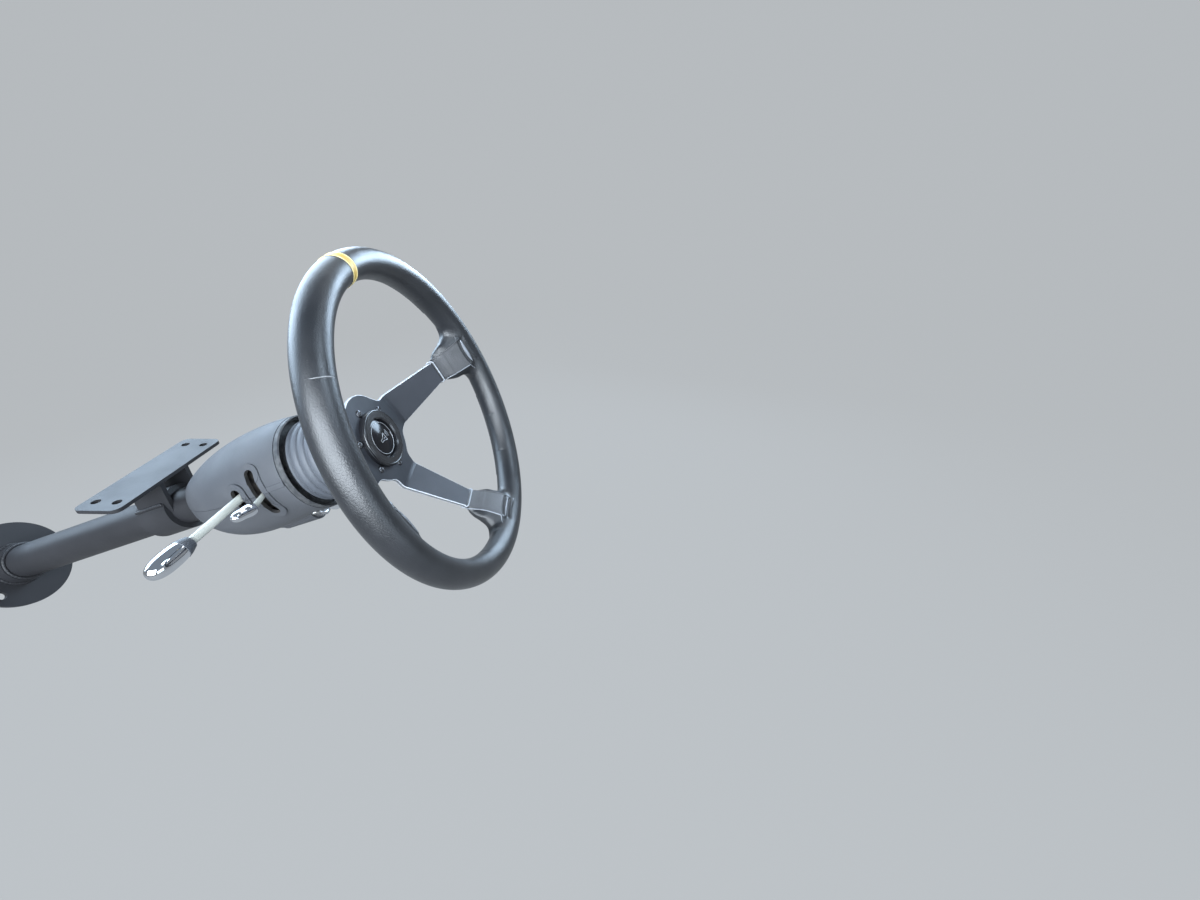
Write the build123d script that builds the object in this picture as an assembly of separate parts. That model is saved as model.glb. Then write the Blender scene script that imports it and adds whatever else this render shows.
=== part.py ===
from build123d import *
from math import atan, cos, degrees, radians, sin, sqrt, tan
import os

os.makedirs("parts", exist_ok=True)

# Steering wheel and column of a small sports coupe, in millimetres and in its place in the car:
# +X to the driver's right, +Y to the front of the car, +Z up.
# Origin: middle of the top face of the upper bracket, where the column bolts up under the dash.
# Depths run down the column line from the rim's middle plane, and angles round it from the right.

# Column line
rake = 20.2                    # column's fall to the front, degrees from level
bracket_depth = 352.0          # rim centre to the bracket's middle, along the column
bracket_height = 54.0          # column line to the bracket's top face, straight up
wheel_turn = 10.7              # wheel as it stands at rest, degrees to the left

# Rim and its top mark
rim_diameter = 350.0
rim_width = 28.4               # section across the rim
rim_depth = 31.2               # section along the column
stripe_angle = 86.7            # from the right-hand spoke
stripe_width = 9.5
stripe_inset = 1.2
stripe_gap = 0.15

# Spoke sheet
dish = 70.0                    # rim's middle plane down to the hub's face
sheet = 4.0
hub_radius = 46.0
hub_lobe_radius = 36.0         # the hub's fuller top
hub_lobe_offset = 16.0
spoke_bend = 55.0              # radius where a spoke leaves the hub's face
spoke_root = 20.8              # half widths of a spoke
spoke_tip = 7.8
spoke_short = 2.8              # a spoke's end, short of the middle of the rim's section
spoke_over = 4.2               # and in front of the rim's middle plane
spoke_under = 26.0             # how far a spoke's outline runs back inside the hub
hub_fillet = 12.0
bend_fillet = 9.0
screw_circle = 70.0
screw_count = 6
screw_shank = 5.0
screw_gap = 0.3
screw_tap = 4.2
screw_tap_depth = 7.0

# Leather at the spoke ends: a padded panel with a thumb rest on each side
leather = 2.4
leather_edge = 1.6             # over the edges of the sheet
sleeve_length = 48.3           # hem to the middle of the rim's section
sleeve_crest = 16.0            # half width of the flat panel
sleeve_wing = 34.0             # half width of the thumb rests
sleeve_round = 3.0
sleeve_hem = 2.6               # rounding at the hem
sleeve_swell = 2.4             # growth from the hem to the first seam
sleeve_rows = [
    # place along the sleeve, depths of panel, edge and back in halves of rim_depth,
    # half width of the panel in crests, half widths of edge and back in wings
    (0.30, 0.54, 0.90, 1.80, 0.98, 0.72, 0.57),
    (0.45, 0.03, 0.61, 1.44, 1.03, 0.77, 0.65),
    (0.60, -0.42, 0.26, 1.09, 1.08, 0.90, 0.77),
    (0.76, -0.60, 0.03, 0.80, 1.12, 1.22, 1.06),
    (0.94, -0.70, 0.00, 0.70, 1.00, 1.20, 1.08),
]

# Horn push
horn_ring_diameter = 62.0
horn_ring_height = 6.5
horn_ring_bevel = 2.8
horn_button_diameter = 41.5
horn_crown = 2.6
horn_sunk = 1.0                # button's crown below the ring's face
horn_gap = 0.4

# Boss and its ribbed cover
boss_flange = 39.0             # radius
boss_flange_height = 8.0
boss_cone = 8.0
boss_barrel = 24.0             # radius
boss_length = 74.5             # under the sheet
bellows_radius = 45.6
bellows_neck = 42.5            # radius at the wheel end
bellows_pitch = 9.0
bellows_groove = 2.2           # width and depth of a groove
bellows_crown = 0.9            # bulge of a rib
bellows_count = 7
bellows_first = 4.0            # cover's lower end to its first groove
collar_height = 2.0
collar_inset = 1.0
running_gap = 5.0              # turning cover and boss to what stands still round them

# Steering shaft and jacket tube
shaft_diameter = 20.0
shaft_sunk = 10.0              # upper end of the shaft below the boss's face
shaft_tip = 18.0               # diameter of the lower end, which the joint's yoke slides on
journal_length = 14.0
spline_neck = 6.0
spline_length = 34.0
spline_count = 18
spline_height = 1.0
fit = 0.05                     # radial running fit of the shaft in its bushes
tube_diameter = 42.0
tube_wall = 2.5
tube_gap = 11.5                # boss to the tube's upper end
tube_beyond = 25.0             # tube's lower end past the lower flange
bush_length = 22.0
bush_flange = 3.0

# Column cover
cover_gap = 7.0                # cover's mouth below the end of the ribbed cover
cover_radius = 53.1            # at the mouth
cover_length = 142.5
cover_wall = 2.5
cover_seam = 0.4               # gap at the parting line
cover_parting = 3.0            # parting line above the column line
cover_band = 5.5               # raised band along the parting line
cover_band_height = 0.8
cover_sections = [
    # place along the cover, half width, height above and below in mouth radii
    (0.000, 1.000, 1.000, 1.000),
    (0.221, 1.032, 1.030, 1.026),
    (0.425, 1.025, 0.994, 1.085),
    (0.607, 0.991, 0.917, 1.104),
    (0.803, 0.857, 0.772, 1.017),
    (1.000, 0.584, 0.556, 0.716),
]
ring_radius = 52.8             # ring in the cover's mouth
ring_front = 0.5               # ring's crown below the end of the ribbed cover
ring_crown = 1.1
ring_gap = 0.6
ring_plate = 3.0
ring_wall = 2.0
slot_width = 10.0
slot_rim = 6.0                 # raised border round a slot
slot_rim_height = 1.2
front_slot = 183.5             # depth
front_slot_from = 153.0
front_slot_to = 199.0
rear_slot = 207.5
rear_slot_from = 168.0
rear_slot_to = 183.0

# Switch and stalks: reach to the left, height and depth of each stalk's elbow and tip
switch_radius = 43.0
switch_start = 168.0
switch_length = 56.0
clip_gap = 0.3
stalk_root = 7.0               # inside the switch
long_elbow = 120.0
long_height = 5.6
long_tip = 42.0
long_fall = 6.0                # tip's depth past its elbow
long_droop = 1.0               # tip's end under its elbow
short_elbow = 76.0
short_height = 1.0
short_back = 10.0              # elbow's depth short of the root
short_tip = 24.0
short_droop = 0.6              # elbow under the root
short_rise = 5.0
rod_long = 8.4                 # diameters of the rods and of the tips' thickest part
rod_short = 5.0
rod_short_end = 8.0
tip_long = 19.5
tip_short = 11.2
tip_collar = 1.6               # step from rod to tip
tip_bore = 5.6

# Ignition lock and key
lock_right = 24.0
lock_below = 63.0
lock_radius = 12.5
lock_front = 204.0             # depth
lock_length = 62.0
lock_bare = 8.0                # each end of the lock outside its socket
lock_wall = 2.4
lock_arm_width = 9.0
lock_arm_length = 16.0
key_blade = 2.0
key_width = 8.0
key_reach = 16.0               # blade inside the lock
key_gap = 0.1
key_bow = 22.0
key_neck = 4.0
key_hole = 6.0

# Brackets
flange_length = 150.0          # across the car
flange_width = 46.0
flange_sheet = 4.0
flange_corner = 8.0
flange_bolt_x = 120.0
flange_bolt_y = 22.0
flange_bolt = 8.5
clamp_wall = 6.0
clamp_length = 40.0
web_sheet = 5.0
web_spacing = 36.0
foot_depth = 610.0             # lower flange's place along the column
foot_diameter = 108.0
foot_sheet = 5.0
foot_circle = 84.0
foot_bolts = 3
foot_bolt = 8.5
foot_collar = 16.0
foot_wall = 4.0

# Worked out from the above
centre_radius = (rim_diameter - rim_width) / 2
spoke_reach = centre_radius - spoke_short
spoke_rise = (dish + spoke_over) / (spoke_reach - spoke_bend)
sleeve_start = centre_radius - sleeve_length
plate_back = dish + sheet
boss_end = plate_back + boss_length
bellows_end = boss_end - collar_height
shaft_top = plate_back + shaft_sunk
tube_top = boss_end + tube_gap
tube_end = foot_depth + foot_sheet + tube_beyond
tube_radius = tube_diameter / 2
shaft_radius = shaft_diameter / 2
shoulder = tube_end + 2 * bush_flange
neck_start = shoulder + journal_length
spline_start = neck_start + spline_neck
shaft_end = spline_start + spline_length
cover_front = bellows_end + cover_gap
cover_end = cover_front + cover_length
side_radius = cover_sections[1][1] * cover_radius
rake_cos = cos(radians(rake))
rake_sin = sin(radians(rake))
wheel_centre = Vector(0, -bracket_depth * rake_cos, bracket_depth * rake_sin - bracket_height)
column = Plane(origin=wheel_centre, x_dir=(1, 0, 0), z_dir=(0, -rake_cos, rake_sin))
seat = Location(column)        # the column's own frame: x right, y up, z to the driver, depth = -z
turned = Rot(0, 0, wheel_turn)


def save(name, shape):
    """Place a piece from the column's frame into the car and write it."""
    placed = seat * shape
    placed.label = name
    export_step(placed, f"parts/{name}.step")
    print(name, round(placed.volume / 1000.0, 2), "cm3", len(placed.solids()), "solids")


def ring(points):
    """Solid of revolution about the column from (radius, depth) corners."""
    outline = Polyline(*[(r, 0, -d) for r, d in points], close=True)
    return revolve(make_face(outline), Axis.Z, 360)


def disc(radius, start, length):
    """Cylinder about the column from one depth on towards the front."""
    return Pos(0, 0, -start - length / 2) * Cylinder(radius, length)


# Spoke sheet: flat hub, three tapered spokes that rise to the rim.
def spoke_depth(radius):
    """Depth of the sheet's face at a radius."""
    return dish - spoke_rise * max(0.0, radius - spoke_bend)


def spoke_half(radius):
    """Half width of a spoke at a radius."""
    share = (radius - spoke_bend) / (spoke_reach - spoke_bend)
    return spoke_root + (spoke_tip - spoke_root) * share


def screw_places():
    """Middles of the hub's screws."""
    places = []
    for k in range(screw_count):
        a = radians(30 + 360 / screw_count * k)
        places.append((screw_circle / 2 * cos(a), screw_circle / 2 * sin(a)))
    return places


def spoke_sheet():
    slope = atan(spoke_rise)
    thick = sheet / cos(slope)
    shift = sheet * tan(slope / 2)
    tip_depth = spoke_depth(spoke_reach)
    top = [(0, -dish), (spoke_bend, -dish), (spoke_reach, -tip_depth)]
    low = [(spoke_reach, -tip_depth - thick), (spoke_bend + shift, -plate_back), (0, -plate_back)]
    side = make_face(Polyline(*[(x, 0, z) for x, z in top + low], close=True))
    corners = [v for v in side.vertices() if abs(v.X - spoke_bend) < shift + 0.01]
    side = fillet(corners, bend_fillet)
    profile = extrude(side, amount=rim_diameter / 2, both=True)
    plan = Sketch() + Circle(hub_radius) + Pos(0, hub_lobe_offset) * Circle(hub_lobe_radius)
    inner = spoke_bend - spoke_under
    arm = Polyline(
        (inner, -spoke_half(inner)), (spoke_reach, -spoke_tip), (spoke_reach, spoke_tip), (inner, spoke_half(inner)),
        close=True,
    )
    arm = make_face(arm)
    body = Pos(0, 0, -plate_back) * extrude(plan, amount=sheet)
    for angle in (0, -90, 180):
        reach = extrude(arm, amount=2 * dish, both=True) & profile
        body = body + Rot(0, 0, angle) * reach
    near = [
        e for e in body.edges().filter_by(Axis.Z)
        if abs(e.length - sheet) < sheet / 8
        and 0.87 * hub_radius < sqrt(e.center().X ** 2 + e.center().Y ** 2) < 1.07 * spoke_bend
    ]
    body = fillet(near, hub_fillet)
    body = body - disc(horn_button_diameter / 2 + horn_gap, dish - sheet, 3 * sheet)
    for x, y in screw_places():
        body = body - Pos(x, y, -dish) * Cylinder(screw_shank / 2 + screw_gap, 4 * sheet)
    return body


def sleeve_section(radius, front, edge, back, w_panel, w_edge, w_back, rounding):
    """Six-sided section of a spoke's leather end, across the spoke."""
    at = Plane(origin=(radius, 0, 0), x_dir=(0, 1, 0), z_dir=(1, 0, 0))
    outline = Polyline(
        (-w_panel, -front), (w_panel, -front), (w_edge, -edge), (w_back, -back), (-w_back, -back), (-w_edge, -edge),
        close=True,
    )
    flat = make_face(outline)
    return at * fillet(flat.vertices(), rounding)


def sleeve(angle):
    """Padded leather end of a spoke, from its hem to the rim."""
    thick = sheet / cos(atan(spoke_rise))
    faces = []
    for along, swell in ((0.0, 0.0), (0.12, sleeve_swell)):
        r = sleeve_start + along * sleeve_length
        d = spoke_depth(r)
        half = spoke_half(r)
        faces.append(sleeve_section(
            r, d - leather - swell / 4, d + thick / 2, d + thick + leather,
            half + leather_edge / 4, half + leather_edge + swell, half + leather_edge / 4 + swell / 2, sleeve_hem,
        ))
    unit = rim_depth / 2
    for along, front, edge, back, w_panel, w_edge, w_back in sleeve_rows:
        faces.append(sleeve_section(
            sleeve_start + along * sleeve_length, front * unit, edge * unit, back * unit,
            w_panel * sleeve_crest, w_edge * sleeve_wing, w_back * sleeve_wing, sleeve_round,
        ))
    return Rot(0, 0, angle) * loft(faces)


spokes = spoke_sheet()
rim_section = Ellipse(rim_width / 2, rim_depth / 2)
rim = revolve(Plane.XZ * Pos(centre_radius, 0) * rim_section, Axis.Z, 360)
for angle in (0, -90, 180):
    rim = rim + sleeve(angle)
rim = rim - spokes

# Top mark: a band let into the leather.
half = degrees(stripe_width / 2 / centre_radius)
edge = degrees(stripe_gap / centre_radius)
floor_width = rim_width / 2 - stripe_inset
floor_depth = rim_depth / 2 - stripe_inset
groove = Plane.XZ * Pos(centre_radius, 0) * (Ellipse(rim_width, rim_depth) - Ellipse(floor_width, floor_depth))
band = Plane.XZ * Pos(centre_radius, 0) * (
    rim_section - Ellipse(floor_width + stripe_gap, floor_depth + stripe_gap)
)
rim = rim - Rot(0, 0, stripe_angle - half) * revolve(groove, Axis.Z, 2 * half)
stripe = Rot(0, 0, stripe_angle - half + edge) * revolve(band, Axis.Z, 2 * (half - edge))

save("spoke_sheet", turned * spokes)
save("leather_rim", turned * rim)
save("rim_mark", turned * stripe)

# Horn push: bevelled ring on the hub's face, domed button in its bore.
r_out = horn_ring_diameter / 2
r_button = horn_button_diameter / 2
r_in = r_button + horn_gap
horn_top = dish - horn_ring_height
inner_bevel = horn_ring_bevel / 2
save("horn_ring", ring([
    (r_in, dish), (r_out, dish), (r_out, horn_top + horn_ring_bevel), (r_out - horn_ring_bevel, horn_top),
    (r_in + inner_bevel, horn_top), (r_in, horn_top + inner_bevel),
]))
crown_top = horn_top + horn_sunk
dome = (r_button ** 2 + horn_crown ** 2) / (2 * horn_crown)
cap = disc(r_button, crown_top, plate_back - crown_top) & Pos(0, 0, -crown_top - dome) * Sphere(dome)
save("horn_button", cap)

# Boss: flange under the sheet, barrel down the shaft.
boss = ring([
    (0, plate_back), (boss_flange, plate_back), (boss_flange, plate_back + boss_flange_height),
    (boss_barrel, plate_back + boss_flange_height + boss_cone), (boss_barrel, boss_end), (0, boss_end),
])
boss = boss - disc(shaft_radius + fit, shaft_top, boss_length)
for x, y in screw_places():
    boss = boss - Pos(x, y, -plate_back) * Cylinder(screw_tap / 2, 2 * screw_tap_depth)
save("hub_boss", turned * boss)


# Ribbed rubber cover round the boss, held between the sheet and the collar.
def bellows_outside(depth):
    """Radius over the ribs at a depth: it draws in towards the wheel."""
    share = min(1.0, 1.6 * (depth - plate_back) / (bellows_end - plate_back))
    return bellows_neck + (bellows_radius - bellows_neck) * share


def ribbed_cover():
    inside = boss_flange + clip_gap
    start = plate_back + clip_gap
    half_groove = bellows_groove / 2
    lines = []
    corner = (bellows_outside(bellows_end) - bellows_crown, bellows_end)
    lines.append(Line((inside, bellows_end), corner))
    for k in range(bellows_count + 1):
        last = k == bellows_count
        middle = bellows_end - bellows_first - k * bellows_pitch
        stop = start if last else middle + half_groove
        crown = (corner[1] + stop) / 2
        shoulder_point = (bellows_outside(stop) - bellows_crown, stop)
        lines.append(ThreePointArc(corner, (bellows_outside(crown), crown), shoulder_point))
        if last:
            break
        floor_point = (bellows_outside(middle) - bellows_groove, middle)
        corner = (bellows_outside(middle - half_groove) - bellows_crown, middle - half_groove)
        lines.append(Line(shoulder_point, floor_point))
        lines.append(Line(floor_point, corner))
    lines.append(Line(shoulder_point, (inside, start)))
    lines.append(Line((inside, start), (inside, bellows_end)))
    half_section = make_face(Curve() + lines)
    return revolve(mirror(Plane.XZ * half_section, Plane.XY), Axis.Z, 360)


save("boss_cover", ribbed_cover())
collar = disc(bellows_radius - collar_inset, bellows_end, collar_height)
save("boss_collar", collar - disc(boss_barrel + fit, bellows_end - 1, collar_height + 2))

# Steering shaft with a shouldered, splined lower end.
r_tip = shaft_tip / 2
shaft = ring([
    (0, shaft_top), (shaft_radius, shaft_top), (shaft_radius, shoulder), (r_tip, shoulder), (r_tip, neck_start),
    (r_tip - spline_height, neck_start), (r_tip - spline_height, spline_start), (r_tip, spline_start),
    (r_tip, shaft_end - spline_height), (r_tip - spline_height, shaft_end), (0, shaft_end),
])
cutter = Pos(r_tip, 0, -shaft_end + spline_length / 2) * Rot(0, 0, 45)
cutter = cutter * Box(spline_height * sqrt(2), spline_height * sqrt(2), spline_length + 1)
for k in range(spline_count):
    shaft = shaft - Rot(0, 0, 360 / spline_count * k) * cutter
save("steering_shaft", turned * shaft)

# Jacket tube and its two bushes.
tube_in = tube_radius - tube_wall
jacket = disc(tube_radius, tube_top, tube_end - tube_top)
save("column_tube", jacket - disc(tube_in, tube_top - 1, tube_end - tube_top + 2))
shaft_hole = shaft_radius + fit
upper = disc(tube_in, tube_top, bush_length) + disc(tube_radius, tube_top - bush_flange, bush_flange)
save("upper_bush", upper - disc(shaft_hole, tube_top - 2 * bush_flange, 2 * bush_length))
lower = disc(tube_in, tube_end - bush_length, bush_length) + disc(tube_radius, tube_end, bush_flange)
save("lower_bush", lower - disc(shaft_hole, tube_end - 1.5 * bush_length, 2 * bush_length))


# Column cover: two moulded shells that meet on the level line.
def pod(inset):
    """Solid inside of the cover, less a wall."""
    faces = []
    last = len(cover_sections) - 1
    for k, (along, half_width, above, below) in enumerate(cover_sections):
        w = half_width * cover_radius - inset
        up = above * cover_radius - inset
        down = below * cover_radius - inset
        d = cover_front + along * cover_length - (inset if k == last else 0)
        outline = ThreePointArc((-w, 0), (0, up), (w, 0)) + ThreePointArc((w, 0), (0, -down), (-w, 0))
        faces.append(Pos(0, 0, -d) * make_face(outline))
    return loft(faces)


def slot(depth, start, stop, grow, low, high):
    """Rounded slot round the cover's side between two angles; low and high are its radii."""
    r = slot_width / 2 + grow
    middle = (low + high) / 2
    span = revolve(Plane.XZ * Pos(middle, -depth) * Rectangle(high - low, 2 * r), Axis.Z, stop - start)
    body = Rot(0, 0, start) * span
    for angle in (start, stop):
        a = radians(angle)
        end = Pos(middle * cos(a), middle * sin(a), -depth) * Rot(0, 0, angle) * Rot(0, 90, 0)
        body = body + end * Cylinder(r, high - low)
    return body


lock_middle = lock_front + lock_length / 2
lock_place = Pos(lock_right, -lock_below, -lock_middle)
arm_place = Pos(0.8 * lock_right, -lock_below / 2, -lock_front - lock_length + lock_arm_length / 2)
socket = lock_place * Cylinder(lock_radius + clip_gap + lock_wall, lock_length - 2 * lock_bare)
inside = pod(cover_wall)
shell = pod(0.0) + socket - inside
shell = shell - disc(tube_radius + clip_gap, cover_end - cover_length / 8, cover_length / 4)
shell = shell - lock_place * Cylinder(lock_radius + clip_gap, 2 * lock_length)
shell = shell - arm_place * Box(lock_arm_width + 2 * clip_gap, lock_below, lock_arm_length + 2 * clip_gap)

# Raised borders round the slots, and the band from the front one to the mouth.
wall_middle = side_radius - cover_wall / 2
border_top = side_radius + slot_rim_height
band_length = front_slot - cover_front
band_box = Pos(-cover_radius, cover_parting + cover_band / 2, -cover_front - band_length / 2)
band_box = band_box * Box(cover_radius, cover_band, band_length)
shell = shell + ((pod(-cover_band_height) - pod(cover_wall / 2)) & band_box)
cuts = None
for depth, start, stop in ((front_slot, front_slot_from, front_slot_to), (rear_slot, rear_slot_from, rear_slot_to)):
    shell = shell + slot(depth, start, stop, slot_rim, wall_middle, border_top)
    cut = slot(depth, start, stop, 0.0, side_radius - 3 * cover_wall, border_top + 3 * cover_wall)
    cuts = cut if cuts is None else cuts + cut
shell = shell - cuts
big = 4 * side_radius
half_box = Box(big, big, 2 * cover_end)
above = Pos(0, cover_parting + big / 2 + cover_seam / 2, 0) * half_box
below = Pos(0, cover_parting - big / 2 - cover_seam / 2, 0) * half_box
save("cover_upper", shell & above)
save("cover_lower", shell & below)

# Ring in the cover's mouth, with the plate that closes it round the jacket tube.
skirt = cover_radius - cover_wall - clip_gap
mouth = bellows_radius + running_gap
ring_top = bellows_end + ring_front
ring_back = cover_front - ring_gap
step = bellows_end + running_gap
plate_front = boss_end + 2 * running_gap
tube_clear = tube_radius + clip_gap
save("cover_ring", ring([
    (tube_clear, plate_front + ring_plate), (tube_clear, plate_front), (skirt - ring_wall, plate_front),
    (skirt - ring_wall, step + ring_wall), (mouth, step + ring_wall / 2), (mouth, ring_top + ring_crown),
    ((mouth + ring_radius) / 2, ring_top), (ring_radius, ring_top + ring_crown), (ring_radius, ring_back),
    (skirt, ring_back), (skirt, plate_front + ring_plate),
]))


# Stalks: rod from the switch out through its slot, chromed tip.
def rod(start, stop, diameter, end=None):
    """Round rod between two points of the column's frame; with an end diameter it flares like a trumpet."""
    length = (stop - start).length
    at = Plane(origin=start, z_dir=stop - start)
    if end is None:
        return at * Pos(0, 0, length / 2) * Cylinder(diameter / 2, length)
    r, wide = diameter / 2, end / 2
    flare = Spline([(r, 0.45 * length), (r + 0.3 * (wide - r), 0.8 * length), (wide, length)],
                   tangents=[(0, 1), (0.5, 1)])
    side = Line((0, 0), (r, 0)) + Line((r, 0), (r, 0.45 * length)) + flare
    side = side + Line((wide, length), (0, length)) + Line((0, length), (0, 0))
    return at * revolve(Plane.XZ * make_face(side), Axis.Z, 360)


def tip(start, stop, neck, thick):
    """Chromed tip of a stalk: a collar over the rod, thickest at its middle, with a blunt round end."""
    length = (stop - start).length
    r = thick / 2
    n = neck / 2 + tip_collar
    side = Spline([(n, 0), (r, 0.50 * length), (0.62 * r, 0.93 * length), (0, length)], tangents=[(0.5, 1), (-1, 0)])
    side = side + Line((0, length), (0, 0)) + Line((0, 0), (n, 0))
    body = revolve(Plane.XZ * make_face(side), Axis.Z, 360)
    body = body - Pos(0, 0, tip_bore / 2) * Cylinder(neck / 2 + fit, tip_bore)
    return Plane(origin=start, z_dir=stop - start) * body


def plug(elbow, end, diameter):
    """Ball at a rod's elbow and the stub that the tip is pressed on."""
    stub = Plane(origin=elbow, z_dir=end - elbow) * Pos(0, 0, tip_bore / 2) * Cylinder(diameter / 2, tip_bore)
    return Pos(*elbow) * Sphere(diameter / 2) + stub


root = -(switch_radius - stalk_root)
long_root = Vector(root, long_height, -rear_slot)
long_bend = Vector(-long_elbow, long_height, -rear_slot - long_fall / 4)
long_stop = Vector(-long_elbow - long_tip, long_height - long_droop, -rear_slot - 1.25 * long_fall)
short_root = Vector(root, short_height, -front_slot - 0.4 * short_back)
short_bend = Vector(-short_elbow, short_height - short_droop, -front_slot + 0.6 * short_back)
short_stop = Vector(-short_elbow - short_tip, short_height + 0.9 * short_rise, -front_slot + 0.5 * short_back)
way_long = rod(long_root, long_bend, rod_long + 2 * fit)
way_short = rod(short_root, short_bend, rod_short + 2 * fit)
solid_long = rod(long_root, long_bend, rod_long) + plug(long_bend, long_stop, rod_long)
solid_short = rod(short_root, short_bend, rod_short, rod_short_end) + plug(short_bend, short_stop, rod_short_end)
save("stalk_long_rod", solid_long)
save("stalk_long_tip", tip(long_bend, long_stop, rod_long, tip_long) - solid_long)
save("stalk_short_rod", solid_short)
save("stalk_short_tip", tip(short_bend, short_stop, rod_short_end, tip_short) - solid_short)

# Switch: block clamped on the jacket tube that carries both rods.
switch = disc(switch_radius, switch_start, switch_length)
switch = switch - disc(tube_radius + fit, switch_start - clip_gap, switch_length + 2 * clip_gap)
save("switch_block", switch - way_long - way_short)

# Ignition lock in the lower cover, on an arm from the jacket tube, with its key.
lock = lock_place * Cylinder(lock_radius, lock_length)
arm = arm_place * Box(lock_arm_width, lock_below, lock_arm_length)
lock = lock + (arm - disc(tube_radius + fit, lock_front, 2 * lock_length))
keyway = Pos(lock_right, -lock_below, -lock_front)
hole = Box(key_blade + 2 * key_gap, key_width + 2 * key_gap, 2 * key_reach + 2 * key_gap)
save("ignition_lock", lock - keyway * hole)
bow_place = keyway * Pos(0, 0, key_neck + key_bow / 2) * Rot(0, 90, 0)
bow = bow_place * Cylinder(key_bow / 2, 1.5 * key_blade)
bow = bow - keyway * Pos(0, 0, key_neck + 0.68 * key_bow) * Rot(0, 90, 0) * Cylinder(key_hole / 2, 4 * key_blade)
blade_length = key_reach + key_neck + key_bow / 8
blade = keyway * Pos(0, 0, blade_length / 2 - key_reach) * Box(key_blade, key_width, blade_length)
save("ignition_key", bow + blade)

# Lower flange: three-bolt plate round the jacket tube for the bulkhead.
foot = disc(foot_diameter / 2, foot_depth, foot_sheet)
foot = foot + disc(tube_radius + foot_wall, foot_depth - foot_collar, foot_collar)
foot = foot - disc(tube_radius + fit, foot_depth - 2 * foot_collar, 4 * foot_collar)
for k in range(foot_bolts):
    a = radians(90 + 360 / foot_bolts * k)
    hole = Cylinder(foot_bolt / 2, 4 * foot_sheet)
    foot = foot - Pos(foot_circle / 2 * cos(a), foot_circle / 2 * sin(a), -foot_depth) * hole
save("lower_flange", foot)

# Upper bracket: level flange under the dash, two webs, clamp round the jacket tube.
clamp = Pos(0, 0, -bracket_depth) * Cylinder(tube_radius + clamp_wall, clamp_length)
flange = Pos(0, 0, -flange_sheet / 2) * Box(flange_length, flange_width, flange_sheet)
flange = fillet(flange.edges().filter_by(Axis.Z), flange_corner)
bracket = flange + seat * clamp
for side in (-1, 1):
    web = Pos(side * web_spacing / 2, 0, -bracket_height / 2) * Box(web_sheet, clamp_length, bracket_height)
    bracket = bracket + web
for x in (-flange_bolt_x / 2, flange_bolt_x / 2):
    for y in (-flange_bolt_y / 2, flange_bolt_y / 2):
        bracket = bracket - Pos(x, y, 0) * Cylinder(flange_bolt / 2, 4 * flange_sheet)
bracket = bracket - seat * disc(tube_radius + fit, bracket_depth - 2 * clamp_length, 4 * clamp_length)
bracket.label = "upper_bracket"
export_step(bracket, "parts/upper_bracket.step")
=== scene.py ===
import bpy, bmesh, math
import numpy as np
from mathutils import Matrix, Vector

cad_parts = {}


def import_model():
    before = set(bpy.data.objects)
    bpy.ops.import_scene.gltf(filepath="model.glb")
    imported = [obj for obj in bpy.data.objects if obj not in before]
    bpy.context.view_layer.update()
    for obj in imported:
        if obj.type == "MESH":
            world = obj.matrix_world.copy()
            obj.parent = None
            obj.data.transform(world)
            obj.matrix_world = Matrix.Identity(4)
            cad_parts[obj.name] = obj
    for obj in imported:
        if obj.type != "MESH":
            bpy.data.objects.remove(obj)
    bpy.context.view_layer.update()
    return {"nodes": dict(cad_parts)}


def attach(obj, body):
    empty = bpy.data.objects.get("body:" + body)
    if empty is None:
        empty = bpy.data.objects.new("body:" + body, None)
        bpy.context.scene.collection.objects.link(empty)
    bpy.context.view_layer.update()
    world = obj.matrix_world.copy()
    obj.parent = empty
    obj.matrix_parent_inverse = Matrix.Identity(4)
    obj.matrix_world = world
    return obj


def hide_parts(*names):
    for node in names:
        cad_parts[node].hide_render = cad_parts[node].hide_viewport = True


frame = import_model()
nodes = frame["nodes"]
scene = bpy.context.scene

# Column frame: x right, up across the column, depth down it from the rim's middle plane. Millimetres.
rake = math.radians(20.2)
turn = math.radians(10.7)
bracket_depth, bracket_height = 352.0, 54.0
centre = np.array([0.0, -bracket_depth * math.cos(rake), bracket_depth * math.sin(rake) - bracket_height])
axes = np.array([[1, 0, 0], [0, math.sin(rake), math.cos(rake)], [0, -math.cos(rake), math.sin(rake)]])
rim_radius = 160.8                                  # to the middle of the rim's section
rim_a, rim_b = 14.2, 15.6                           # half width and half depth of that section
hub_face = 70.0                                     # depth of the hub's face
sheet, leather_thick = 4.0, 2.4                     # thicknesses
spoke_bend = 55.0                                   # radius where a spoke leaves the hub's face
spoke_angles = (0, -90, 180)
mark_angle, mark_width = 86.7, 9.5
slots = ((183.5, 153.0, 199.0), (207.5, 168.0, 183.0))     # depth, and from angle to angle round the cover
slot_half = 5.0


def spun(x, y, angle):
    """Turns points about the column's axis, by an angle in radians."""
    c, s = math.cos(angle), math.sin(angle)
    return x * c - y * s, x * s + y * c


def world(points):
    """Column frame (x, up, towards the driver) in mm to the row frame in metres."""
    return (np.asarray(points, float) @ axes + centre) / 1000


def wheel_world(points):
    """The same for the wheel's own frame, which is turned as the photo shows."""
    p = np.asarray(points, float).reshape(-1, 3)
    return world(np.stack([*spun(p[:, 0], p[:, 1], turn), p[:, 2]], 1))


def row_world(points):
    """Points that are already in the row frame, from mm to metres."""
    return np.asarray(points, float) / 1000


def outward(me):
    """Turns all faces of a mesh to the outside."""
    bm = bmesh.new()
    bm.from_mesh(me)
    bmesh.ops.recalc_face_normals(bm, faces=bm.faces)
    bm.to_mesh(me)
    bm.free()


def linked(name, data):
    o = bpy.data.objects.new(name, data)
    scene.collection.objects.link(o)
    return o


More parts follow.
